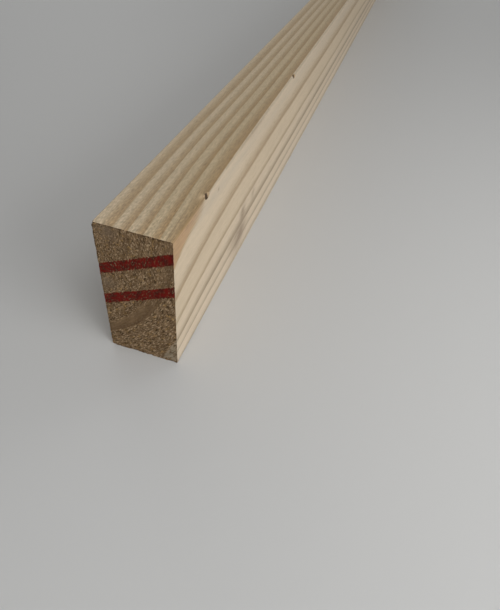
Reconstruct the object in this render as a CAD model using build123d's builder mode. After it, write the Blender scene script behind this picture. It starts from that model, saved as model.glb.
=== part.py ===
"""A planed softwood stud: one sawn piece of timber that rests on its narrow edge.

X runs across the thickness, Y along the length and Z up the width. The origin is at the
middle of the bottom edge. The near end is the one at -Y.
"""

import os
from dataclasses import dataclass

from build123d import *

# Driving dimensions of the stud, in millimetres
thickness = 45.0
width = 95.0
length = 2400.0
arris_radius = 1.0

# Two torn nicks in the upper right arris, where pin knots broke out under the planer
first_nick_from_end = 46.5
first_nick_length = 7.0
first_nick_depth = 2.2
second_nick_from_end = 253.0
second_nick_length = 7.0
second_nick_depth = 2.2

# A nick is deepest near the end where the cutter lifted the fibre, and runs out along the grain
nick_deepest_share = 0.36


@dataclass
class Nick:
    from_end: float
    length: float
    depth: float


nicks = [
    Nick(first_nick_from_end, first_nick_length, first_nick_depth),
    Nick(second_nick_from_end, second_nick_length, second_nick_depth),
]

near_end_y = -length / 2
torn_arris_x = thickness / 2

with BuildPart() as plank:
    # Planed section with eased arrises, drawn looking along the length
    with BuildSketch(Plane.XZ) as section:
        Rectangle(thickness, width, align=(Align.CENTER, Align.MIN))
        fillet(section.vertices(), arris_radius)
    extrude(amount=length / 2, both=True)

    # Each nick is a tapered gouge, turned about the line where the two faces would meet
    for nick in nicks:
        deepest = Vector(torn_arris_x, near_end_y + nick.from_end, width)
        lifted_end = -nick.length * nick_deepest_share
        run_out_end = lifted_end + nick.length
        with BuildSketch(Plane(origin=deepest, x_dir=(0, 1, 0), z_dir=(-1, 0, 0))) as gouge:
            with BuildLine():
                EllipticalCenterArc((0, 0), -lifted_end, nick.depth, start_angle=90, arc_size=90)
                TangentArc((0, nick.depth), (run_out_end, 0), tangent=(1, 0))
                Line((run_out_end, 0), (lifted_end, 0))
            make_face()
        revolve(axis=Axis(deepest, (0, 1, 0)), mode=Mode.SUBTRACT)

plank.part.label = "plank"

os.makedirs("parts", exist_ok=True)
export_step(plank.part, "parts/plank.step")
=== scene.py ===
# %% [markdown]
# # A planed softwood stud
# The object is one length of spruce: sawn from a log, planed on its four long faces and cut
# square at both ends. It lies on its narrow edge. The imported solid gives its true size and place,
# so this lesson loads that solid first and then models a finer plank in exactly the same box.

# %% Load the solid and read its sizes
import math
from typing import NamedTuple

import bmesh
import bpy
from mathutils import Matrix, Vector


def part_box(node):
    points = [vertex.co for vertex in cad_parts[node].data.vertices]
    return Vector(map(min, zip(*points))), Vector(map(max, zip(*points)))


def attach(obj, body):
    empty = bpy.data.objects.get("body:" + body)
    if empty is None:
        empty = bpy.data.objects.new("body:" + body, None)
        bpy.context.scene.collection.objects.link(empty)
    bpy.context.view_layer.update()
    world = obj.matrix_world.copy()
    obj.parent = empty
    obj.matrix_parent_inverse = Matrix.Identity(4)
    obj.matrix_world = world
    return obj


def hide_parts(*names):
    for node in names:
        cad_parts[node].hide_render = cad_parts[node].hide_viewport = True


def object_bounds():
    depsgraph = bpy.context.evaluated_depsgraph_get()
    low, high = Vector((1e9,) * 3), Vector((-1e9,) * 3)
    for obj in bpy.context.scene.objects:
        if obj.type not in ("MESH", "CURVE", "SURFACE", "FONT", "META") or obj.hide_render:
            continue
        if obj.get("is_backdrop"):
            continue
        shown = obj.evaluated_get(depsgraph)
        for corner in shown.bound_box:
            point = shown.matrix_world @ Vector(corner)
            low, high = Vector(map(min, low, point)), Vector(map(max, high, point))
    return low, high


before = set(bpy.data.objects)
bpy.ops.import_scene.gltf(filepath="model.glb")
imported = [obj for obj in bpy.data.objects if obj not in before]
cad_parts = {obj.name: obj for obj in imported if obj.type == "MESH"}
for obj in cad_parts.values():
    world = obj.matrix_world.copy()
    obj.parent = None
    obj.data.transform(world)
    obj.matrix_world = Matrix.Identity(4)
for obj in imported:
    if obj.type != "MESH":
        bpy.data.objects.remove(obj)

MM = 0.001
solid_low, solid_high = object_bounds()
low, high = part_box("plank")
thickness, length, width = high - low
print(f"plank {thickness / MM:.0f} x {width / MM:.0f} x {length / MM:.0f} mm")

# %% [markdown]
# ## Camera
# The picture was taken with a wide phone lens, held above and in front of the sawn end and turned a
# little to the left. A camera can be aimed with a constraint, but then its roll is hard to set. Here
# the eye is placed from the corner of the near end, and three angles turn it.

# %% Place the camera
EYE_RIGHT_OF_LEFT_FACE = 126.27 * MM
EYE_BEFORE_NEAR_END = 171.63 * MM
EYE_HEIGHT = 242.13 * MM
CAMERA_TILT = 45.131
CAMERA_ROLL = -4.683
CAMERA_HEADING = 17.484
LENS_LENGTH_MM = 28.304

bpy.ops.object.select_all(action="DESELECT")
bpy.ops.object.camera_add(
    location=(low.x + EYE_RIGHT_OF_LEFT_FACE, low.y - EYE_BEFORE_NEAR_END, EYE_HEIGHT),
    rotation=[math.radians(angle) for angle in (CAMERA_TILT, CAMERA_ROLL, CAMERA_HEADING)],
)
camera = bpy.context.object
camera.name = "photo_camera"
camera.data.lens = LENS_LENGTH_MM
camera.data.dof.use_dof = False
bpy.context.scene.camera = camera
print("camera at", [round(v, 3) for v in camera.location])

# %% [markdown]
# ## Shader arithmetic
# A wood finish is mostly sums: distances from the pith, bands, masks. Wiring each Math node by hand
# would fill pages, so a small class wraps an output socket and turns `+`, `-`, `*`, `/` and `**` into
# Math nodes. Everything else, such as a noise or a ramp, comes from one method, `node`.

# %% Wrap sockets so that Python arithmetic builds nodes
class Value:
    """An output socket of a finish. Arithmetic on it adds Math nodes to that finish."""

    def __init__(self, finish, socket):
        self.finish = finish
        self.socket = socket

    def also(self, name):
        """Another output of the same node."""
        return Value(self.finish, self.socket.node.outputs[name])

    def math(self, operation, *others):
        return self.finish.math(operation, self, *others)

    def __add__(self, other):
        return self.math("ADD", other)

    def __radd__(self, other):
        return self.math("ADD", other)

    def __sub__(self, other):
        return self.math("SUBTRACT", other)

    def __rsub__(self, other):
        return self.finish.math("SUBTRACT", other, self)

    def __mul__(self, other):
        return self.math("MULTIPLY", other)

    def __rmul__(self, other):
        return self.math("MULTIPLY", other)

    def __truediv__(self, other):
        return self.math("DIVIDE", other)

    def __rtruediv__(self, other):
        return self.finish.math("DIVIDE", other, self)

    def __pow__(self, other):
        return self.math("POWER", other)

    def exp(self):
        return self.math("EXPONENT")

    def centred(self):
        """A noise from 0 to 1 as a swing about zero."""
        return self - 0.5

    def between(self, start, end):
        """0 up to start, 1 past end and a smooth step from one to the other."""
        return self.finish.node(
            "ShaderNodeMapRange",
            {"interpolation_type": "SMOOTHSTEP"},
            {"Value": self, "From Min": start, "From Max": end},
        )

    def hump(self, middle, half_width):
        """A bell that is 1 at the middle and falls off over the half width."""
        offset = (self - middle) / half_width
        return (offset * offset * -1.0).exp()


class Finish:
    """A material and the nodes that feed its Principled shader."""

    def __init__(self, name):
        self.material = bpy.data.materials.new(name)
        self.material.use_nodes = True
        self.tree = self.material.node_tree
        self.shader = self.tree.nodes["Principled BSDF"]

    def feed(self, socket, value):
        if isinstance(value, Value):
            self.tree.links.new(value.socket, socket)
        else:
            socket.default_value = value

    def node(self, kind, settings, sockets, output=0):
        made = self.tree.nodes.new(kind)
        for name, setting in settings.items():
            if name == "stops":
                self.set_stops(made.color_ramp, setting)
            else:
                setattr(made, name, setting)
        for name, value in sockets.items():
            self.feed(made.inputs[name], value)
        return Value(self, made.outputs[output])

    def tint(self, colour, tone):
        """A colour made lighter or darker by a varying number."""
        grey = self.node("ShaderNodeCombineColor", {}, {0: tone, 1: tone, 2: tone})
        return self.mix(colour, grey, 1.0, "MULTIPLY")

    def set_stops(self, ramp, stops):
        while len(ramp.elements) > 1:
            ramp.elements.remove(ramp.elements[-1])
        ramp.elements[0].position, ramp.elements[0].color = stops[0]
        for position, colour in stops[1:]:
            ramp.elements.new(position).color = colour

    def math(self, operation, *values):
        return self.node("ShaderNodeMath", {"operation": operation}, dict(enumerate(values)))

    def mix(self, base, over, share, blend="MIX"):
        """Colour base with colour over laid on it by share."""
        return self.node(
            "ShaderNodeMix",
            {"data_type": "RGBA", "blend_type": blend},
            {0: share, 6: base, 7: over},
            output=2,
        )

    def noise(self, place, stretch, detail=2.0, roughness=0.5, unit=MM):
        """Noise from 0 to 1. stretch gives its grain size along x, y and z, in millimetres."""
        scaled = self.node(
            "ShaderNodeVectorMath",
            {"operation": "MULTIPLY"},
            {0: place, 1: [1.0 / (size * unit) for size in stretch]},
        )
        return self.node(
            "ShaderNodeTexNoise",
            {},
            {"Vector": scaled, "Scale": 1.0, "Detail": detail, "Roughness": roughness},
        )

    def finish_with(self, colour, roughness, height, relief_depth, relief_strength):
        """Feeds the shader: colour, roughness and a relief whose depth is in metres."""
        relief = self.node(
            "ShaderNodeBump",
            {},
            {"Strength": relief_strength, "Distance": relief_depth, "Height": height},
        )
        self.feed(self.shader.inputs["Base Color"], colour)
        self.feed(self.shader.inputs["Roughness"], roughness)
        self.feed(self.shader.inputs["Normal"], relief)


def most(values):
    """The largest of several values, place by place."""
    largest, *others = values
    for other in others:
        largest = largest.math("MAXIMUM", other)
    return largest


print("shader arithmetic ready")

# %% [markdown]
# ## Floor and light
# On a plain pale floor, in soft daylight from the right, the wide face of the plank is bright, its
# top duller and its end dark. A sun lamp would draw hard shadows and a picture of a sky would need a
# file, so broad lamps do it. A low one on the right makes the wide face the brightest. One overhead
# lights the top edge and the floor alike and keeps the shadow on the left soft. A third reaches the
# far half of the plank, and one at the far left shows its back. The sky lights all sides a little, so
# that none is left black. The camera and mirrored rays see a plain grey backdrop in its place.

# %% Lay the floor
FLOOR_SPAN = 30.0
FLOOR_COLOUR = (0.61, 0.61, 0.60, 1.0)
FLOOR_ROUGHNESS = 0.6
FLOOR_GLOSS = 0.2

bpy.ops.mesh.primitive_plane_add(size=FLOOR_SPAN)
floor = bpy.context.object
floor.name = "floor"
floor_finish = Finish("pale_floor")
floor_finish.shader.inputs["Base Color"].default_value = FLOOR_COLOUR
floor_finish.shader.inputs["Roughness"].default_value = FLOOR_ROUGHNESS
floor_finish.shader.inputs["Specular IOR Level"].default_value = FLOOR_GLOSS
floor.data.materials.append(floor_finish.material)
floor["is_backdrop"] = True
print("floor", FLOOR_SPAN, "m wide")

# %% Hang the lamps
FAR_HALF_FROM_END = 1.6

middle_z = low.z + width / 2
near_end = Vector((0.0, low.y, middle_z))
far_half = Vector((0.0, low.y + FAR_HALF_FROM_END, middle_z))

# Each lamp: its name, the point it is aimed at, how far from that point it hangs, its breadth and
# height in metres and its power in watts
LAMPS = (
    ("side_lamp", near_end, Vector((0.80, -0.22, 0.36)), 0.70, 0.58, 4.4),
    ("overhead_lamp", near_end, Vector((0.48, -0.42, 0.98)), 0.45, 0.45, 2.8),
    ("far_lamp", far_half, Vector((1.40, 0.60, 1.20)), 1.40, 1.40, 6.0),
    ("fill_lamp", far_half, Vector((-1.90, 1.20, 1.10)), 1.40, 1.40, 8.5),
)

for name, aim, offset, breadth, height, power in LAMPS:
    bpy.ops.object.light_add(type="AREA", location=aim + offset)
    lamp = bpy.context.object
    lamp.name = name
    lamp.data.shape = "RECTANGLE"
    lamp.data.size = breadth
    lamp.data.size_y = height
    lamp.data.energy = power
    lamp.rotation_euler = (-offset).to_track_quat("-Z", "Y").to_euler()
    lamp.visible_camera = False
print(len(LAMPS), "lamps")

# %% Set the sky and the backdrop
SKY_COLOUR = (1.0, 1.0, 1.0, 1.0)
SKY_STRENGTH = 0.30
BACKDROP_COLOUR = (0.60, 0.61, 0.61, 1.0)

world = bpy.context.scene.world or bpy.data.worlds.new("sky")
bpy.context.scene.world = world
world.use_nodes = True
world_nodes = world.node_tree.nodes
sky = world_nodes["Background"]
sky.inputs["Color"].default_value = SKY_COLOUR
sky.inputs["Strength"].default_value = SKY_STRENGTH
backdrop = world_nodes.new("ShaderNodeBackground")
backdrop.inputs["Color"].default_value = BACKDROP_COLOUR
ray = world_nodes.new("ShaderNodeLightPath")
either = world_nodes.new("ShaderNodeMixShader")
mirrored = world_nodes.new("ShaderNodeMath")
seen = world_nodes.new("ShaderNodeMath")
mirrored.operation = seen.operation = "MAXIMUM"
wires = (
    (ray.outputs["Is Glossy Ray"], mirrored.inputs[0]),
    (ray.outputs["Is Transmission Ray"], mirrored.inputs[1]),
    (ray.outputs["Is Camera Ray"], seen.inputs[0]),
    (mirrored.outputs[0], seen.inputs[1]),
    (seen.outputs[0], either.inputs["Fac"]),
    (sky.outputs["Background"], either.inputs[1]),
    (backdrop.outputs["Background"], either.inputs[2]),
    (either.outputs["Shader"], world_nodes["World Output"].inputs["Surface"]),
)
for source, target in wires:
    world.node_tree.links.new(source, target)
bpy.context.scene.view_settings.view_transform = "Standard"
print("sky of strength", SKY_STRENGTH)

# %% [markdown]
# ## The plank's shape
# A plank looks like a box, but its edges give it away: the planer eases every arris, and the saw
# leaves the ends rough and the rim of the cut chipped. An even grid as fine as the ends need would
# take half a million faces. So the box is divided finely across the grain and coarsely along it,
# eased, and then roughened at the ends only.

# %% Start from a box of the right size
bpy.ops.object.select_all(action="DESELECT")
bpy.ops.mesh.primitive_cube_add(size=1.0, location=(0.0, (low.y + high.y) / 2, middle_z))
plank = bpy.context.object
plank.name = "plank_timber"
plank.scale = (thickness, length, width)
bpy.ops.object.transform_apply(location=True, rotation=False, scale=True)
print("box", [round(v / MM) for v in plank.dimensions])

# %% Divide it: fine across the grain, coarse along it
CELL = 1.15 * MM
FIRST_STATION = 0.5 * MM
STATION_GROWTH = 1.6
LONGEST_STATION = 90.0 * MM
PARALLEL = 0.99
X, Z = 0, 2


def select_parts(mode, test):
    """In edit mode, select the vertices, edges or faces that pass a test."""
    bpy.ops.mesh.select_mode(type=mode)
    bpy.ops.mesh.select_all(action="DESELECT")
    mesh = bmesh.from_edit_mesh(bpy.context.object.data)
    parts = {"VERT": mesh.verts, "EDGE": mesh.edges, "FACE": mesh.faces}[mode]
    for part in parts:
        part.select = test(part)
    mesh.select_flush_mode()
    bmesh.update_edit_mesh(bpy.context.object.data)


def runs_along(edge, axis):
    direction = edge.verts[1].co - edge.verts[0].co
    return abs(direction[axis]) > PARALLEL * direction.length


def stations():
    """Distances from an end at which the plank is cut across, close together near that end."""
    distance = FIRST_STATION
    step = FIRST_STATION
    while distance < length / 2:
        yield distance
        step = min(step * STATION_GROWTH, LONGEST_STATION)
        distance += step


bpy.ops.object.mode_set(mode="EDIT")
select_parts("EDGE", lambda edge: runs_along(edge, X))
bpy.ops.mesh.subdivide(number_cuts=round(thickness / CELL) - 1)
select_parts("EDGE", lambda edge: runs_along(edge, Z))
bpy.ops.mesh.subdivide(number_cuts=round(width / CELL) - 1)
for distance in stations():
    for cut_y in (low.y + distance, high.y - distance):
        bpy.ops.mesh.select_all(action="SELECT")
        bpy.ops.mesh.bisect(plane_co=(0.0, cut_y, 0.0), plane_no=(0.0, 1.0, 0.0))
bpy.ops.object.mode_set(mode="OBJECT")
print("divided into", len(plank.data.polygons), "faces")

# %% Ease the four long arrises and refine the sawn ends
ARRIS_RADIUS = 1.0 * MM
ARRIS_STEPS = 3
ROUND_PROFILE = 0.5
TOUCH = 0.01 * MM
SQUARE_TO_LENGTH = 0.9


def on_corner_line(vertex):
    at_side = min(vertex.co.x - low.x, high.x - vertex.co.x) < TOUCH
    at_edge = min(vertex.co.z - low.z, high.z - vertex.co.z) < TOUCH
    return at_side and at_edge


bpy.ops.object.mode_set(mode="EDIT")
select_parts("EDGE", lambda edge: all(on_corner_line(v) for v in edge.verts))
bpy.ops.mesh.bevel(offset=ARRIS_RADIUS, segments=ARRIS_STEPS, profile=ROUND_PROFILE, affect="EDGES")
select_parts("FACE", lambda face: abs(face.normal.y) > SQUARE_TO_LENGTH)
bpy.ops.mesh.subdivide(number_cuts=1)
bpy.ops.object.mode_set(mode="OBJECT")
print("eased, now", len(plank.data.polygons), "faces")

# %% [markdown]
# ## Sawn ends
# A cross-cut saw tears the fibres. The face of the cut is a fraction of a millimetre rough, and its
# rim loses chips, most of all at the bottom, where the teeth leave the wood. Sculpting would do, but
# Displace modifiers with a cloud texture are repeatable. They only push inwards, so the plank never
# outgrows its box.

# %% Roughen the sawn ends
TEAR_GRAIN = 1.3 * MM
TEAR_DEPTH = 0.32 * MM
CLOUD_LAYERS = 2


def add_group(name, weigh):
    """Add a vertex group whose weights come from each vertex's place."""
    group = plank.vertex_groups.new(name=name)
    for vertex in plank.data.vertices:
        weight = weigh(vertex.co)
        if weight > 0.0:
            group.add([vertex.index], weight, "REPLACE")


def push_in(group_name, grain_size, depth, direction, contrast=1.0, brightness=1.0):
    """Displace a group of vertices inwards by a cloud pattern, and apply it.

    The group is given by name, because applying a modifier makes all the groups anew.
    """
    pattern = bpy.data.textures.new(group_name, "CLOUDS")
    pattern.noise_scale = grain_size
    pattern.noise_depth = CLOUD_LAYERS
    pattern.contrast = contrast
    pattern.intensity = brightness
    pattern.use_clamp = True
    modifier = plank.modifiers.new(group_name, "DISPLACE")
    modifier.texture = pattern
    modifier.texture_coords = "LOCAL"
    modifier.direction = direction
    modifier.mid_level = 0.0
    modifier.strength = depth
    modifier.vertex_group = group_name
    bpy.ops.object.modifier_apply(modifier=modifier.name)


add_group("near_face", lambda co: float(co.y < low.y + TOUCH))
add_group("far_face", lambda co: float(co.y > high.y - TOUCH))
push_in("near_face", TEAR_GRAIN, TEAR_DEPTH, "Y")
push_in("far_face", TEAR_GRAIN, -TEAR_DEPTH, "Y")
print("ends roughened by", TEAR_DEPTH / MM, "mm")

# %% Chip the rim of both cuts
CHIP_GRAIN = 2.2 * MM
CHIP_DEPTH = 0.7 * MM
CHIP_CONTRAST = 2.6
CHIP_BRIGHTNESS = 0.60
RIM_REACH = 0.9 * MM
RIM_DEPTH = 1.4 * MM
BOTTOM_CHIPS = 1.0
OTHER_CHIPS = 0.55


def from_nearer_end(co):
    return min(co.y - low.y, high.y - co.y)


def rim_weight(co):
    """How readily the rim chips at a place: most at the end itself and where the saw left."""
    from_end = from_nearer_end(co)
    from_bottom = co.z - low.z
    from_others = min(co.x - low.x, high.x - co.x, high.z - co.z)
    if from_end > RIM_DEPTH or min(from_bottom, from_others) > RIM_REACH:
        return 0.0
    share = BOTTOM_CHIPS if from_bottom < RIM_REACH else OTHER_CHIPS
    return share * (1.0 - from_end / RIM_DEPTH)


add_group("chipped_rim", rim_weight)
push_in("chipped_rim", CHIP_GRAIN, -CHIP_DEPTH, "NORMAL", CHIP_CONTRAST, CHIP_BRIGHTNESS)
print("rim chipped by up to", CHIP_DEPTH / MM, "mm")

# %% Give the faces their finishes
STILL_FACING_END = 0.6

planed_finish = Finish("planed_spruce")
sawn_finish = Finish("sawn_end_grain")
plank.data.materials.append(planed_finish.material)
plank.data.materials.append(sawn_finish.material)
for polygon in plank.data.polygons:
    at_end = from_nearer_end(polygon.center) < FIRST_STATION
    polygon.material_index = int(at_end and abs(polygon.normal.y) > STILL_FACING_END)
print("finishes", [material.name for material in plank.data.materials])

# %% [markdown]
# ## Nicks
# Two pin knots sat right on the upper right arris and tore out under the planer. Each left a gouge:
# steep where the knife lifted it, running out along the grain. The upper left corner of the cut has
# lost a splinter too. Pulling single vertices inwards would crease the faces around. A rough pebble
# of the right size, taken away with a Boolean, leaves a torn hollow with a sharp rim, and the
# pebble's own finish stays on the hollow's walls.

# %% Shape a rough pebble
DEEPEST_SHARE = 0.36
PEBBLE_FINENESS = 4
PEBBLE_ROUGHNESS = 0.5 * MM
PEBBLE_GRAIN = 1.1 * MM
torn_finish = Finish("torn_fibre")


def squeeze_pebble(test, share):
    """In edit mode, squeeze the half of a pebble that passes a test along the grain."""
    select_parts("VERT", test)
    bpy.ops.transform.resize(value=(1.0, share, 1.0), center_override=(0.0, 0.0, 0.0))


def add_pebble(name, middle, reach, depth_x, depth_z):
    """A rough pebble that reaches a length along the grain and a depth across it."""
    bpy.ops.object.select_all(action="DESELECT")
    bpy.ops.mesh.primitive_ico_sphere_add(subdivisions=PEBBLE_FINENESS, radius=1.0)
    pebble = bpy.context.object
    pebble.name = name
    bpy.ops.object.mode_set(mode="EDIT")
    squeeze_pebble(lambda vertex: vertex.co.y < 0.0, DEEPEST_SHARE)
    squeeze_pebble(lambda vertex: vertex.co.y > 0.0, 1.0 - DEEPEST_SHARE)
    bpy.ops.object.mode_set(mode="OBJECT")
    pebble.scale = (depth_x, reach, depth_z)
    pebble.location = middle
    bpy.ops.object.transform_apply(location=True, rotation=False, scale=True)
    pattern = bpy.data.textures.new(name, "CLOUDS")
    pattern.noise_scale = PEBBLE_GRAIN
    modifier = pebble.modifiers.new("rough", "DISPLACE")
    modifier.texture = pattern
    modifier.texture_coords = "LOCAL"
    modifier.strength = PEBBLE_ROUGHNESS
    bpy.ops.object.modifier_apply(modifier=modifier.name)
    pebble.data.materials.append(torn_finish.material)
    return pebble


print("pebbles are rough by", PEBBLE_ROUGHNESS / MM, "mm")

# %% Tear the nicks out of the arris, and the splinter out of the corner
CORNER_CHIP_LENGTH = 3.0 * MM
CORNER_CHIP_ACROSS = 1.2 * MM
CORNER_CHIP_DOWN = 2.0 * MM


class Nick(NamedTuple):
    """A nick in the upper right arris, with its deepest point at a distance from the near end."""

    from_end: float
    length: float
    depth: float
    crack_half_length: float

    def middle(self):
        return Vector((high.x, low.y + self.from_end, high.z))


NICKS = (
    Nick(from_end=46.5 * MM, length=7.0 * MM, depth=2.1 * MM, crack_half_length=3.2 * MM),
    Nick(from_end=253.0 * MM, length=7.0 * MM, depth=2.1 * MM, crack_half_length=4.2 * MM),
)


def tear_out(pebble):
    """Take the pebble away from the plank."""
    modifier = plank.modifiers.new("tear", "BOOLEAN")
    modifier.operation = "DIFFERENCE"
    modifier.solver = "EXACT"
    modifier.material_mode = "TRANSFER"
    modifier.object = pebble
    bpy.context.view_layer.objects.active = plank
    bpy.ops.object.modifier_apply(modifier=modifier.name)
    bpy.data.objects.remove(pebble)


for nick in NICKS:
    tear_out(add_pebble("nick", nick.middle(), nick.length, nick.depth, nick.depth))
chipped_corner = Vector((low.x, low.y, high.z))
tear_out(add_pebble(
    "corner_chip", chipped_corner, CORNER_CHIP_LENGTH, CORNER_CHIP_ACROSS, CORNER_CHIP_DOWN
))
print("torn out, now", len(plank.data.polygons), "faces")

# %% [markdown]
# ## A clean mesh
# Booleans leave slivers: edges too short to see and faces with no area. On the rim, two neighbouring
# faces of five corners or more can be cut into triangles along the same line, which then has four
# faces. A printer or a game engine stumbles over both. Merging by hand is slow, so points that almost
# touch are merged by distance, the hairline slit that this leaves is drawn shut, and the
# many-cornered faces get a point in their middle. Those around the hollow in the corner are left
# out of that, because they aren't convex. A Boolean hands its points over in another order on each
# run, so they are first sorted by their distance from a point to one side.

# %% Clean the mesh and smooth the shading
SORT_FROM = Vector((0.31, -2.73, 0.87))
SLIVER = 0.01 * MM
SLIT = 0.08 * MM
AROUND_CHIP = 5.0 * MM
SMOOTH_UP_TO = math.radians(35.0)


def has_many_corners_on_rim(face):
    """True for a face of five corners or more at an end, away from the chipped corner."""
    middle = face.calc_center_median()
    at_end = from_nearer_end(middle) < FIRST_STATION
    by_chip = (middle - chipped_corner).length < AROUND_CHIP
    return len(face.verts) > 4 and at_end and not by_chip


bpy.ops.object.select_all(action="DESELECT")
plank.select_set(True)
bpy.context.view_layer.objects.active = plank
bpy.ops.object.mode_set(mode="EDIT")
bpy.ops.mesh.select_all(action="SELECT")
bpy.context.scene.cursor.location = SORT_FROM
bpy.ops.mesh.sort_elements(type="CURSOR_DISTANCE", elements={"VERT", "EDGE", "FACE"})
bpy.ops.mesh.remove_doubles(threshold=SLIVER)
bpy.ops.mesh.dissolve_degenerate(threshold=SLIVER)
bpy.ops.mesh.select_mode(type="VERT")
bpy.ops.mesh.select_all(action="DESELECT")
bpy.ops.mesh.select_non_manifold()
bpy.ops.mesh.remove_doubles(threshold=SLIT)
select_parts("FACE", has_many_corners_on_rim)
bpy.ops.mesh.poke()
bpy.ops.object.mode_set(mode="OBJECT")
bpy.ops.object.shade_smooth_by_angle(angle=SMOOTH_UP_TO)
print("clean, now", len(plank.data.polygons), "faces")

# %% [markdown]
# ## Year rings
# Every face shows the same rings, cut at another angle: straight bands on the edge, broad lines on
# the wide face, arcs on the ends. A wood texture drawn on each face would never agree at the
# arrises. Here the rings are a solid: the distance from the pith, which lies outside the plank to
# the left, decides how far through its year the wood at a place is. The rings swell towards the near
# end, because a knot grew just beyond the cut. In this and all later finishes, lengths are in
# millimetres, and places are measured from the near end, the left face and the bottom edge.

# %% Write down the years
RING_SPAN = (54.0, 140.0)
CRISP = 0.3
SOFT = 1.0

# Each year: radius where it ends, radius where its latewood starts, how dark and how red that
# gets, how pale its springwood is and over how many millimetres it turns into the next year
YEARS = (
    (64.60, 57.6, 0.72, 0.35, 0.32, SOFT),
    (72.45, 67.2, 0.75, 0.05, 0.32, CRISP),
    (80.45, 75.8, 0.80, 0.05, 0.25, CRISP),
    (89.00, 84.5, 1.00, 0.15, 0.08, CRISP),
    (98.10, 91.5, 1.00, 1.00, 0.04, CRISP),
    (103.50, 100.3, 0.88, 0.28, 0.62, CRISP),
    (111.85, 109.0, 0.70, 0.00, 0.55, CRISP),
    (120.75, 115.2, 0.97, 0.05, 0.74, CRISP),
    (128.20, 124.2, 0.78, 0.00, 0.84, CRISP),
    (136.50, 131.7, 0.80, 0.00, 1.00, CRISP),
)


def ring_stops():
    """Ramp stops over the ring span: red is the lateness, green the redness, blue the paleness."""
    first, last = RING_SPAN
    starts = first
    stops = []
    for ends, latewood, dark, red, pale, edge in YEARS:
        spring = (0.0, 0.0, pale, 1.0)
        stops.append((starts, spring))
        stops.append((latewood, spring))
        stops.append((ends - edge, (dark, red, pale, 1.0)))
        starts = ends
    stops.append((starts, spring))
    return [((radius - first) / (last - first), colour) for radius, colour in stops]


print("rings end at", [year[0] for year in YEARS], "mm from the pith")

# %% Find the year of any place in the wood
PITH_LEFT_OF_FACE = 55.0
KNOT_SWELL = 0.047
KNOT_SWELL_REACH = 48.0
KNOT_SWELL_AT_BOTTOM = 0.32
KNOT_SWELL_RISE = (3.0, 30.0)
DIP = 0.0155
DIP_FROM_END = 100.0
DIP_REACH = 75.0
DIP_BELOW_TOP = 20.0
DIP_ACROSS = (44.0, 34.0)
WANDER = 5.0
WANDER_GRAIN = (60.0, 420.0, 60.0)
WANDER_FROM_END = (320.0, 900.0)
WAVER = 0.5
WAVER_GRAIN = (1.6, 60.0, 1.6)
STAIN_RADIUS = 97.5
STAIN_REACH = 2.3
STAIN_FROM_END = 42.0
STAIN_SHIFT = 1.15
STEEPNESS = 0.65
SAPWOOD_STEEPNESS = 0.9
SAPWOOD_PALENESS = (0.3, 0.8)


class Grain:
    """The places and rings that every finish of this plank reads, in millimetres."""

    def __init__(self, finish):
        self.finish = finish
        self.place = finish.node("ShaderNodeTexCoord", {}, {}, "Object")
        parts = finish.node("ShaderNodeSeparateXYZ", {}, {"Vector": self.place})
        self.across = (parts - low.x) / MM
        self.along = (parts.also("Y") - low.y) / MM
        self.up = (parts.also("Z") - low.z) / MM
        self.find_year()
        self.read_bands()

    def find_year(self):
        """Radius from the pith, with the swelling by the knot taken out of it."""
        top = width / MM
        side = self.across + PITH_LEFT_OF_FACE
        drop = top - self.up
        self.radius = (side * side + drop * drop) ** 0.5
        self.turn = drop.math("ARCTAN2", side)
        swell = KNOT_SWELL * (self.along / -KNOT_SWELL_REACH).exp()
        full = self.up.between(*KNOT_SWELL_RISE)
        swell = swell * (KNOT_SWELL_AT_BOTTOM + (1.0 - KNOT_SWELL_AT_BOTTOM) * full)
        dip = DIP * self.along.hump(DIP_FROM_END, DIP_REACH)
        dip = dip * self.up.between(top - DIP_BELOW_TOP, top) * self.across.between(*DIP_ACROSS)
        year = self.radius / (1.0 + swell - dip)
        flatter = year.hump(STAIN_RADIUS, STAIN_REACH) * self.along.between(STAIN_FROM_END, 0.0)
        slow = self.finish.noise(self.place, WANDER_GRAIN, detail=1.0)
        fine = self.finish.noise(self.place, WAVER_GRAIN)
        wander = slow.centred() * WANDER * self.along.between(*WANDER_FROM_END)
        self.year = year + STAIN_SHIFT * flatter + (wander + fine.centred() * WAVER)

    def read_bands(self):
        """How late in its year, how red and how pale the wood is."""
        first, last = RING_SPAN
        bands = self.finish.node(
            "ShaderNodeValToRGB", {"stops": ring_stops()}, {"Fac": (self.year - first) / (last - first)}
        )
        split = self.finish.node("ShaderNodeSeparateColor", {}, {"Color": bands})
        self.red = split.also("Green")
        self.pale = split.also("Blue")
        self.sapwood = self.pale.between(*SAPWOOD_PALENESS)
        self.late = split ** (STEEPNESS + SAPWOOD_STEEPNESS * self.sapwood)


print("pith", PITH_LEFT_OF_FACE, "mm left of the plank")

# %% [markdown]
# ## Planed faces
# Planed spruce is pale cream in the wood grown in spring and tan in the wood grown late in the year.
# Fine fibres run along it in short streaks, and resin canals leave tiny dark dashes. Handling has
# left a greyer streak and greasy finger marks on the wide face. A photograph wrapped round the box
# would stretch and end somewhere. Noise drawn out along the grain never ends, and each mark is a soft
# spot or line at its own place. The latewood is harder, so it stands a hair prouder and shines a
# little more.

# %% Tell the planed faces apart and lay their fibres
FACE_RIM = (1.2, 0.6)
ARRIS_RIM = (1.4, 0.5)
WARM_REACH = 35.0
FIBRE_GRAIN = (0.8, 5.0, 0.8)
STRAND_GRAIN = (0.95, 26.0, 0.95)
STREAK_GRAIN = (3.2, 120.0, 3.2)


def close_to(place, face, rim):
    """1 at a face and 0 deeper than its rim."""
    outer, inner = rim
    return place.between(face - outer, face - inner)


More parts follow.
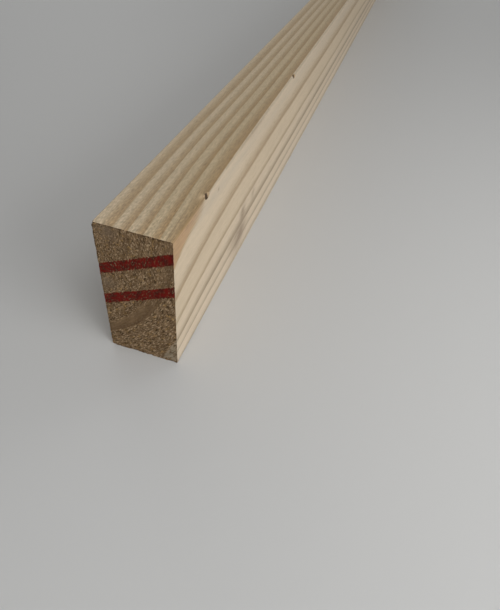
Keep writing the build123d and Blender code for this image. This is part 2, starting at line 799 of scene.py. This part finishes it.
class PlanedGrain(Grain):
    """The grain, and what a planed face adds: its fibres, and which face a place is on."""

    def __init__(self, finish):
        super().__init__(finish)
        right, top = thickness / MM, width / MM
        self.on_top = close_to(self.up, top, FACE_RIM)
        self.on_right = close_to(self.across, right, FACE_RIM)
        self.arris = close_to(self.up, top, ARRIS_RIM) * close_to(self.across, right, ARRIS_RIM)
        self.by_end = (self.along / -WARM_REACH).exp()
        self.fibres = finish.noise(self.place, FIBRE_GRAIN, detail=3.0)
        self.strands = finish.noise(self.place, STRAND_GRAIN)
        self.streaks = finish.noise(self.place, STREAK_GRAIN, detail=3.0)


print("fibres about", FIBRE_GRAIN[1], "mm long")

# %% Mix the colours of planed wood
EARLYWOOD = (0.476, 0.371, 0.231, 1.0)
LATEWOOD = (0.315, 0.208, 0.092, 1.0)
RED_LATEWOOD = (0.435, 0.280, 0.152, 1.0)
SAPWOOD = (0.635, 0.526, 0.398, 1.0)
LATE_SAPWOOD = (0.268, 0.202, 0.124, 1.0)
FULLY_RED = 0.8
RED_LOST_ON_TOP = 0.85
WARMTH_BY_END = 0.45


def planed_colour(grain):
    """Cream and tan by the year, with one redder year and a warmer top near the end."""
    finish = grain.finish
    spring = finish.mix(EARLYWOOD, SAPWOOD, grain.pale)
    late = finish.mix(LATEWOOD, LATE_SAPWOOD, grain.sapwood)
    colour = finish.mix(spring, late, grain.late)
    redness = grain.red.between(0.0, FULLY_RED) * (1.0 - RED_LOST_ON_TOP * grain.on_top)
    warmth = grain.late * grain.on_top * grain.by_end * WARMTH_BY_END
    return finish.mix(colour, RED_LATEWOOD, most((redness, warmth)))


print("wood colours", EARLYWOOD[:3], "to", LATEWOOD[:3])

# %% Let the fibres lighten and darken the wood
CLOUD_GRAIN = (45.0, 190.0, 45.0)
WOOL_GRAIN = (1.2, 2.4, 1.2)
CLOUD_TONE = 0.08
STREAK_TONE = 0.12
ARRIS_PAINTED_SHADE = 0.14
FIBRE_TONE = 0.20
FIBRE_TONE_ON_TOP = 0.34
FIBRE_TONE_BY_END = 0.45
STRAND_TONE = 0.14
STRAND_TONE_LATE = 0.30
WOOL_TONE = 0.2
WOOL_TONE_BY_END = 1.1
DRY_REACH = 18.0
DRY_PALENESS = 0.07


def planed_tone(grain):
    """How light the wood is: fibres stir it most on the top edge, which is woolly near the end. The
    arris gets a painted shade.
    """
    clouds = grain.finish.noise(grain.place, CLOUD_GRAIN)
    wool = grain.finish.noise(grain.place, WOOL_GRAIN, detail=3.0)
    loose = grain.on_top * (1.0 - grain.arris)
    fibre_tone = FIBRE_TONE + loose * (FIBRE_TONE_ON_TOP + FIBRE_TONE_BY_END * grain.by_end)
    tone = 1.0 + clouds.centred() * CLOUD_TONE + grain.streaks.centred() * STREAK_TONE
    # Painted shade: the rounded upper right arris is darkened against the light that it catches.
    tone = tone - grain.arris * ARRIS_PAINTED_SHADE
    tone = tone + grain.fibres.centred() * fibre_tone
    tone = tone + grain.strands.centred() * (STRAND_TONE + STRAND_TONE_LATE * grain.late)
    tone = tone + wool.centred() * loose * (WOOL_TONE + WOOL_TONE_BY_END * grain.by_end)
    return tone + grain.on_top * (grain.along / -DRY_REACH).exp() * DRY_PALENESS


print("fibres vary the tone by", FIBRE_TONE)

# %% Add resin, the split beside the arris and the fibre lifted at the nick
RESIN = (0.17, 0.11, 0.055, 1.0)
RESIN_GRAIN = (0.42, 7.5, 0.42)
RESIN_DASHES = (0.68, 0.76)
RESIN_IN_SPRING = 0.25
RESIN_STRENGTH = 0.6
SPLIT_ACROSS = 41.2
SPLIT_LEAN = 0.05
SPLIT_HALF_WIDTH = 0.28
SPLIT_FADES = (40.0, 25.0)
SPLIT_GAPS = (0.35, 0.5)
SPLIT_STRENGTH = 0.5
STEM_ACROSS = 66.85
STEM_LEAN = 0.5
STEM_HALF_WIDTH = 0.4
STEM_FROM_END = 46.6
STEM_REACH = 2.6
LIFTED_FIBRE = (0.58, 0.42, 0.25, 1.0)
LIFTED_ACROSS = 42.2
LIFTED_HALF_WIDTH = 1.5
LIFTED_FROM_END = 44.4
LIFTED_REACH = 3.0
LIFTED_GAPS = (0.30, 0.45)


def leaning_line(grain, across, lean, half_width):
    """A line on the top edge that leans to the left. Drawn on, it meets the near end at across."""
    return (grain.across + grain.along * lean).hump(across, half_width) * grain.on_top


def add_dark_lines(grain, colour):
    dashes = grain.finish.noise(grain.place, RESIN_GRAIN, detail=0.0).between(*RESIN_DASHES)
    resin = dashes * (RESIN_IN_SPRING + (1.0 - RESIN_IN_SPRING) * grain.late) * RESIN_STRENGTH
    split = leaning_line(grain, SPLIT_ACROSS, SPLIT_LEAN, SPLIT_HALF_WIDTH) * SPLIT_STRENGTH
    split = split * grain.along.between(*SPLIT_FADES) * grain.fibres.between(*SPLIT_GAPS)
    stem = leaning_line(grain, STEM_ACROSS, STEM_LEAN, STEM_HALF_WIDTH)
    stem = stem * grain.along.hump(STEM_FROM_END, STEM_REACH)
    return grain.finish.mix(colour, RESIN, most((resin, split, stem)))


def add_lifted_fibre(grain, colour):
    lifted = grain.across.hump(LIFTED_ACROSS, LIFTED_HALF_WIDTH) * grain.on_top
    lifted = lifted * grain.along.hump(LIFTED_FROM_END, LIFTED_REACH)
    return grain.finish.mix(colour, LIFTED_FIBRE, lifted * grain.fibres.between(*LIFTED_GAPS))


print("fibre lifted", LIFTED_FROM_END, "mm from the near end")

# %% Add the greyer streak and the finger marks
GREYED = (0.34, 0.315, 0.28, 1.0)
GREYED_UP = 88.0
GREYED_REACH = 6.0
GREYED_FROM_END = (8.0, 40.0)
GREYED_SHARE = 0.12
GREYED_SHARE_IN_STREAKS = 0.16
GREYED_STREAKS = (0.35, 0.65)
SMUDGE = (0.255, 0.188, 0.130, 1.0)
SMUDGE_GRAIN = (3.0, 12.0, 3.0)
SMUDGE_GAPS = (0.35, 0.6)
SMUDGE_LEAST = 0.55

# Finger marks on the wide face, and a faint darker band just under the top arris: middle along and up,
# reach along and up, strength
SMUDGES = (
    (117.0, 19.5, 16.0, 10.5, 0.95),
    (124.0, 35.0, 6.0, 9.0, 0.80),
    (102.0, 22.5, 9.0, 4.5, 0.50),
    (149.0, 39.0, 4.0, 6.0, 0.45),
    # A long thin band just under the top arris, darkened in the same colour.
    (138.0, 95.0, 24.0, 2.5, 0.36),
    (66.0, 88.5, 1.3, 1.2, 0.6),
)


def add_greyed_streak(grain, colour):
    greyed = grain.up.hump(GREYED_UP, GREYED_REACH) * grain.along.between(*GREYED_FROM_END)
    share = GREYED_SHARE + GREYED_SHARE_IN_STREAKS * grain.streaks.between(*GREYED_STREAKS)
    return grain.finish.mix(colour, GREYED, greyed * grain.on_right * share)


def add_finger_marks(grain, colour):
    """Greasy finger marks and a faint darker band under the arris, drawn out along the grain."""
    marks = most([
        grain.along.hump(along, reach_along) * grain.up.hump(up, reach_up) * strength
        for along, up, reach_along, reach_up, strength in SMUDGES
    ])
    ragged = grain.finish.noise(grain.place, SMUDGE_GRAIN, detail=3.0).between(*SMUDGE_GAPS)
    marks = marks * (SMUDGE_LEAST + (1.0 - SMUDGE_LEAST) * ragged)
    return grain.finish.mix(colour, SMUDGE, marks * grain.on_right)


print(len(SMUDGES), "finger marks")

# %% Finish the planed faces
PLANED_GLOSS = 0.22
PLANED_ROUGHNESS = 0.62
LATE_SHINE = 0.14
FIBRE_ROUGHNESS = 0.15
LATE_HEIGHT = 0.35
FIBRE_HEIGHT = 0.5
STRAND_HEIGHT = 0.3
PLANED_RELIEF = 0.12 * MM
PLANED_RELIEF_SHARE = 0.35


def finish_planed_faces(finish):
    finish.shader.inputs["Specular IOR Level"].default_value = PLANED_GLOSS
    grain = PlanedGrain(finish)
    colour = finish.tint(planed_colour(grain), planed_tone(grain))
    for add_mark in (add_dark_lines, add_lifted_fibre, add_greyed_streak, add_finger_marks):
        colour = add_mark(grain, colour)
    roughness = PLANED_ROUGHNESS - LATE_SHINE * grain.late + grain.fibres.centred() * FIBRE_ROUGHNESS
    height = grain.late * LATE_HEIGHT + grain.fibres * FIBRE_HEIGHT + grain.strands * STRAND_HEIGHT
    finish.finish_with(colour, roughness, height, PLANED_RELIEF, PLANED_RELIEF_SHARE)


finish_planed_faces(planed_finish)
print("planed faces:", len(planed_finish.tree.nodes), "nodes")

# %% [markdown]
# ## Sawn end grain
# Across the grain the same wood is darker, because the cut tubes of the fibres swallow light. The
# surface is speckled with torn fibre ends, the spring wood most of all, and two slanting strokes of
# red paint, soaked in and ragged, mark the end for sorting. Thousands of modelled fibres would say
# the same at great cost. Noise that is laid out by radius and angle follows the rings by itself, and
# the paint reads the same noise, so that it sinks into the same pits.

# %% Lay the torn fibre ends along the rings
TURN_LENGTH = 90.0
NEAR_END_DEPTH = (4.0, 2.0)
SPECKLE_ROUGHNESS = 0.7
FIBRE_END_GRAIN = (0.8, 1.9, 1.0)
TORN_GRAIN = (0.95, 2.8, 1.3)
HUE_GRAIN = (2.5, 4.0, 2.0)


class SawnGrain(Grain):
    """The grain, and what a sawn end adds: torn fibre ends that follow the rings."""

    def __init__(self, finish):
        super().__init__(finish)
        self.ring_place = finish.node(
            "ShaderNodeCombineXYZ", {}, {0: self.radius, 1: self.turn * TURN_LENGTH, 2: self.along}
        )
        self.near = self.along.between(*NEAR_END_DEPTH)
        self.fibre_ends = self.ring_noise(FIBRE_END_GRAIN, roughness=SPECKLE_ROUGHNESS)
        self.torn = self.ring_noise(TORN_GRAIN, roughness=SPECKLE_ROUGHNESS)
        self.hues = self.ring_noise(HUE_GRAIN, detail=2.0)

    def ring_noise(self, stretch, detail=3.0, roughness=0.5):
        """Noise whose grain sizes are across the ring, along the ring and along the plank."""
        return self.finish.noise(self.ring_place, stretch, detail, roughness, unit=1.0)


print("fibre ends about", FIBRE_END_GRAIN[0], "mm wide")

# %% Find the smoother places of the cut
CORNER_SLOPE = 2.0
CORNER_LINE = (66.5, 69.0)
CORNER_RAGGED = 6.0
CORNER_RISE = (0.5, 3.0)
CORNER_LEAST = 0.35
CORNER_MORE_IN_TEARS = 0.5
CORNER_TEARS = (0.40, 0.55)
STAINED_YEAR_STARTS = (88.7, 91.0)
STAINED_YEAR_ENDS = (98.8, 97.4)
STAINED_SMOOTHNESS = 0.75
STAINED_LOST_ABOVE = 0.4
STAINED_FADES = (38.0, 52.0)

# Places on the near end where the saw blade rubbed the fibres smooth: across, up, reach, strength
RUBBED = ((3.5, 54.5, 5.0, 0.55), (8.0, 91.0, 6.0, 0.5))


def rubbed_places(grain):
    return grain.near * most([
        grain.across.hump(across, reach) * grain.up.hump(up, reach) * strength
        for across, up, reach, strength in RUBBED
    ])


def bare_corner(grain):
    """The lower right corner, where a pale flake came off along a slanting line."""
    line = grain.across * CORNER_SLOPE - grain.up + grain.hues.centred() * CORNER_RAGGED
    corner = line.between(*CORNER_LINE) * grain.near * grain.up.between(*CORNER_RISE)
    return corner * (CORNER_LEAST + CORNER_MORE_IN_TEARS * grain.torn.between(*CORNER_TEARS))


def stained_year(grain):
    """The one year that is dense with resin, which the saw cut cleanly."""
    stained = grain.year.between(*STAINED_YEAR_STARTS) * grain.year.between(*STAINED_YEAR_ENDS)
    return stained * (STAINED_SMOOTHNESS - STAINED_LOST_ABOVE * grain.up.between(*STAINED_FADES))


print(len(RUBBED), "places rubbed smooth")

# %% Mix the colours of the cut
END_EARLYWOOD = (0.215, 0.138, 0.074, 1.0)
END_LATEWOOD = (0.155, 0.095, 0.050, 1.0)
END_GREY = (0.215, 0.165, 0.116, 1.0)
BARE_CORNER = (0.370, 0.305, 0.215, 1.0)
PIT = (0.050, 0.029, 0.014, 1.0)
SPLINTER_ACROSS = 1.3
SPLINTER_DOWN = 2.0
CRACK_SLOPE = 0.55
CRACK_UP = 24.9
CRACK_HALF_WIDTH = 0.35
CRACK_ACROSS = 13.8
CRACK_HALF_LENGTH = 2.4
CRACK_STRENGTH = 0.85
RIM_SHADE_REACH = (1.6, 0.3)
RIM_SHADE_PATCHES = (0.35, 0.6)
RIM_SHADE_TONE = 0.4
TEAR_STREAK_GRAIN = (1.3, 9.0, 4.0)
TEAR_STREAK_TONE = 1.2


def end_grain_colour(grain, rubbed, corner):
    """Brown rings with greyer rubbed places, a pale corner, a short crack and a painted shade along the
    rim.
    """
    finish = grain.finish
    colour = finish.mix(END_EARLYWOOD, END_LATEWOOD, grain.late)
    colour = finish.mix(colour, END_GREY, rubbed)
    colour = finish.mix(colour, BARE_CORNER, corner)
    splinter = grain.across.hump(0.0, SPLINTER_ACROSS) * grain.up.hump(width / MM, SPLINTER_DOWN)
    crack = (grain.up - grain.across * CRACK_SLOPE).hump(CRACK_UP, CRACK_HALF_WIDTH)
    crack = crack * grain.across.hump(CRACK_ACROSS, CRACK_HALF_LENGTH)
    colour = finish.mix(colour, PIT, most((splinter, crack)) * grain.near * CRACK_STRENGTH)
    # Painted shade: patches within 1.6 mm of the top and left edges of the cut are darkened, as the
    # chipped rim would be in shade.
    from_edge = (width / MM - grain.up).math("MINIMUM", grain.across)
    painted_rim_shade = from_edge.between(*RIM_SHADE_REACH) * grain.hues.between(*RIM_SHADE_PATCHES)
    tears = grain.ring_noise(TEAR_STREAK_GRAIN)
    return finish.tint(colour, 1.0 + tears.centred() * TEAR_STREAK_TONE - painted_rim_shade * RIM_SHADE_TONE)


print("end colours", END_EARLYWOOD[:3], "to", END_LATEWOOD[:3])

# %% Paint two slanting strokes
PAINT = (0.165, 0.004, 0.003, 1.0)
SOAKED_PAINT = (0.070, 0.004, 0.003, 1.0)
STROKE_HEIGHTS = (51.0, 74.0)
STROKE_SLOPE = 0.46
STROKE_HALF_WIDTH = 3.7
STROKE_EDGE = 0.3
STROKE_RAGGED = 3.0
STROKE_GRAIN = (1.1, 2.6, 2.0)
MIST_REACH = 6.0
MIST_DROPS = (0.66, 0.72)
MIST_STRENGTH = 0.6
CLOT_GRAIN = (3.0, 5.0, 3.0)
CLOT_SHARE = 0.6
SOAKED = (0.56, 0.42)


def strokes_on(grain):
    """Two slanting strokes of paint with a mist of drops beside them."""
    middle = thickness / MM / 2
    ragged = grain.ring_noise(STROKE_GRAIN).centred() * STROKE_RAGGED
    drops = grain.fibre_ends.between(*MIST_DROPS) * MIST_STRENGTH
    strokes = []
    for stroke_height in STROKE_HEIGHTS:
        rise = grain.up - stroke_height - (grain.across - middle) * STROKE_SLOPE
        spread = rise.math("ABSOLUTE") + ragged
        strokes.append(spread.between(STROKE_HALF_WIDTH + STROKE_EDGE, STROKE_HALF_WIDTH - STROKE_EDGE))
        strokes.append(spread.between(STROKE_HALF_WIDTH + MIST_REACH, STROKE_HALF_WIDTH) * drops)
    return most(strokes)


def paint_colour(grain):
    """Red paint, darker where the fibres drank it."""
    drunk = grain.torn * (1.0 - CLOT_SHARE) + grain.ring_noise(CLOT_GRAIN) * CLOT_SHARE
    return grain.finish.mix(PAINT, SOAKED_PAINT, drunk.between(*SOAKED))


print(len(STROKE_HEIGHTS), "strokes of paint")

# %% Finish the sawn ends
FLECK = (0.55, 0.40, 0.245, 1.0)
GOLD_FLECK = (0.47, 0.285, 0.105, 1.0)
GOLD_FLECKS = (0.50, 0.62)
FLECKS = (0.51, 0.62)
FLECK_STRENGTH = 0.8
PITS = (0.51, 0.39)
PIT_STRENGTH = 0.9
LATE_SMOOTHNESS = 0.25
SMOOTHEST = 0.85
PAINT_COVER = 0.97
PAINT_LOST_IN_PITS = 0.5
END_GLOSS = 0.08
END_ROUGHNESS = 0.9
PAINT_SHINE = 0.2
FIBRE_END_HEIGHT = 0.5
TORN_HEIGHT = 0.5
LATE_END_DEPTH = 0.1
END_RELIEF = 0.5 * MM
END_RELIEF_SHARE = 0.6


def finish_sawn_ends(finish):
    finish.shader.inputs["Specular IOR Level"].default_value = END_GLOSS
    grain = SawnGrain(finish)
    rubbed = rubbed_places(grain)
    corner = bare_corner(grain)
    smooth_wood = grain.late * LATE_SMOOTHNESS + stained_year(grain) + rubbed + corner
    rough_wood = 1.0 - smooth_wood.math("MINIMUM", SMOOTHEST)
    pits = grain.torn.between(*PITS) * rough_wood
    flecks = grain.fibre_ends.between(*FLECKS) * rough_wood
    fleck = finish.mix(FLECK, GOLD_FLECK, grain.hues.between(*GOLD_FLECKS))
    colour = end_grain_colour(grain, rubbed, corner)
    colour = finish.mix(colour, PIT, pits * PIT_STRENGTH)
    colour = finish.mix(colour, fleck, flecks * FLECK_STRENGTH)
    cover = strokes_on(grain) * grain.near * (PAINT_COVER - PAINT_LOST_IN_PITS * pits)
    colour = finish.mix(colour, paint_colour(grain), cover)
    height = grain.fibre_ends * FIBRE_END_HEIGHT + grain.torn * TORN_HEIGHT - grain.late * LATE_END_DEPTH
    finish.finish_with(colour, END_ROUGHNESS - PAINT_SHINE * cover, height, END_RELIEF, END_RELIEF_SHARE)


finish_sawn_ends(sawn_finish)
print("sawn ends:", len(sawn_finish.tree.nodes), "nodes")

# %% [markdown]
# ## Torn hollows
# Inside a nick the wood is torn, not cut: dark in the crack, where the knot's bark and dust stay, and
# pale where fresh fibres stand up towards the top edge. One flat brown would make a hole of it, so
# each nick has a dark bent line of its own on pale fibre, and the hollow in the left corner is dark
# all over.

# %% Finish the torn hollows
TORN_DARK = (0.070, 0.042, 0.020, 1.0)
TORN_PALE = (0.46, 0.325, 0.195, 1.0)
HOLLOW_GRAIN = (0.9, 2.2, 0.9)
HOLLOW_DARKEST = 0.75
HOLLOW_TONE = 0.5
LEFT_HOLLOW = (6.0, 4.0)
LEFT_HOLLOW_DARKNESS = 0.85
NICK_CRACK_BEND = 0.5
NICK_CRACK_RAGGED = 1.2
NICK_CRACK_FROM_ARRIS = 0.3
NICK_CRACK_HALF_WIDTH = 1.0
NICK_CRACK_EDGE = (0.2, 0.6)
NICK_CRACK_ENDS = (0.2, 0.5)
HOLLOW_ROUGHNESS = 0.9
HOLLOW_RELIEF = 0.4 * MM
HOLLOW_RELIEF_SHARE = 0.8


def finish_torn_hollows(finish):
    grain = Grain(finish)
    fibres = finish.noise(grain.place, HOLLOW_GRAIN)
    from_arris = thickness / MM - grain.across
    dark = [grain.across.between(*LEFT_HOLLOW) * LEFT_HOLLOW_DARKNESS]
    for nick in NICKS:
        past = grain.along - nick.from_end / MM
        bent = from_arris - past.math("MAXIMUM", 0.0) * NICK_CRACK_BEND
        ragged = bent + fibres.centred() * NICK_CRACK_RAGGED
        line = ragged.hump(NICK_CRACK_FROM_ARRIS, NICK_CRACK_HALF_WIDTH)
        open_part = past.hump(0.0, nick.crack_half_length / MM).between(*NICK_CRACK_ENDS)
        dark.append(open_part * line.between(*NICK_CRACK_EDGE))
    colour = finish.tint(TORN_PALE, HOLLOW_DARKEST + fibres * HOLLOW_TONE)
    colour = finish.mix(colour, TORN_DARK, most(dark))
    finish.finish_with(colour, HOLLOW_ROUGHNESS, fibres, HOLLOW_RELIEF, HOLLOW_RELIEF_SHARE)


finish_torn_hollows(torn_finish)
print("torn hollows:", len(torn_finish.tree.nodes), "nodes")

# %% [markdown]
# ## Bake map
# Other programs can't read these nodes, so an export bakes them into one square picture. An automatic
# unwrap gives all faces one scale, and a strip as long as this then fills little of the square and
# blurs. Grain is long and thin: it needs many pixels across it and few along it. Here the four long
# faces are unrolled one above the other over the whole height of the square and squeezed along their
# length, least of all near the end. The ends and the torn hollows have a strip of their own.

# %% Find the place of each face on the map
BAKE_MARGIN = 0.004
LONG_FACES_SHARE = 0.74
SQUEEZE = 0.65
ENDS_FROM = 0.755
END_SCALE = 4.9
FAR_END_FROM = 0.478
HOLLOWS_FROM = 0.79
HOLLOWS_UP = 0.978
HOLLOW_PITCH = 0.08
HOLLOW_SCALE = 8.0
INTO_RIGHT_ARRIS = Vector((-1.0, 0.0, -1.0))
INTO_LEFT_CORNER = Vector((1.0, 1.0, -1.0))
UPRIGHT = Vector((0.0, 0.0, 1.0))
hollows = [(nick.middle(), INTO_RIGHT_ARRIS) for nick in NICKS]
hollows.append((chipped_corner, INTO_LEFT_CORNER))


def on_long_faces(co, normal):
    """Place on the map of a point of a face that looks along x or z."""
    if abs(normal.x) > abs(normal.z):
        on_right = thickness + co.z - low.z
        on_left = 2 * thickness + width + high.z - co.z
        around = on_right if normal.x > 0 else on_left
    else:
        on_top = thickness + width + high.x - co.x
        on_bottom = co.x - low.x
        around = on_top if normal.z > 0 else on_bottom
    around = around / (2 * (thickness + width))
    along = max(co.y - low.y, 0.0) / length
    return LONG_FACES_SHARE * along**SQUEEZE + BAKE_MARGIN, (1 - 2 * BAKE_MARGIN) * around + BAKE_MARGIN


def on_ends(co, normal):
    """Place on the map of a point of a sawn end."""
    foot = BAKE_MARGIN if normal.y < 0 else FAR_END_FROM
    return ENDS_FROM + (co.x - low.x) * END_SCALE, foot + (co.z - low.z) * END_SCALE


def in_hollow(co, number):
    """Place on the map of a point in a torn hollow, seen straight into it."""
    middle, inward = hollows[number]
    sideways = inward.cross(UPRIGHT).normalized()
    upwards = inward.cross(sideways).normalized()
    offset = (co - middle) * HOLLOW_SCALE
    column = HOLLOWS_FROM + number * HOLLOW_PITCH
    return column + offset.dot(sideways), HOLLOWS_UP + offset.dot(upwards)


print("long faces take", LONG_FACES_SHARE, "of the map")

# %% Lay out the bake map
bake_map = plank.data.uv_layers.new(name="OFBake")
finish_names = [material.name for material in plank.data.materials]
for polygon in plank.data.polygons:
    finish_name = finish_names[polygon.material_index]
    nearest = min(range(len(hollows)), key=lambda i: (polygon.center - hollows[i][0]).length)
    for corner in polygon.loop_indices:
        co = plank.data.vertices[plank.data.loops[corner].vertex_index].co
        if finish_name == torn_finish.material.name:
            place = in_hollow(co, nearest)
        elif finish_name == sawn_finish.material.name:
            place = on_ends(co, polygon.normal)
        else:
            place = on_long_faces(co, polygon.normal)
        bake_map.uv[corner].vector = place
print("bake map of", len(bake_map.uv), "corners")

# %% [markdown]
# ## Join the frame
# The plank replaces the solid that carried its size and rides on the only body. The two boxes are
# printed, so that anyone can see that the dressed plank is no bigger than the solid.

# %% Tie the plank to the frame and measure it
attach(plank, "root")
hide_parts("plank")

bpy.context.view_layer.update()
dressed_low, dressed_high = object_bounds()
boxes = {
    "cad": [list(solid_low), list(solid_high)],
    "visual": [list(dressed_low), list(dressed_high)],
}
print("box of the solid", boxes["cad"], "box of the plank", boxes["visual"])
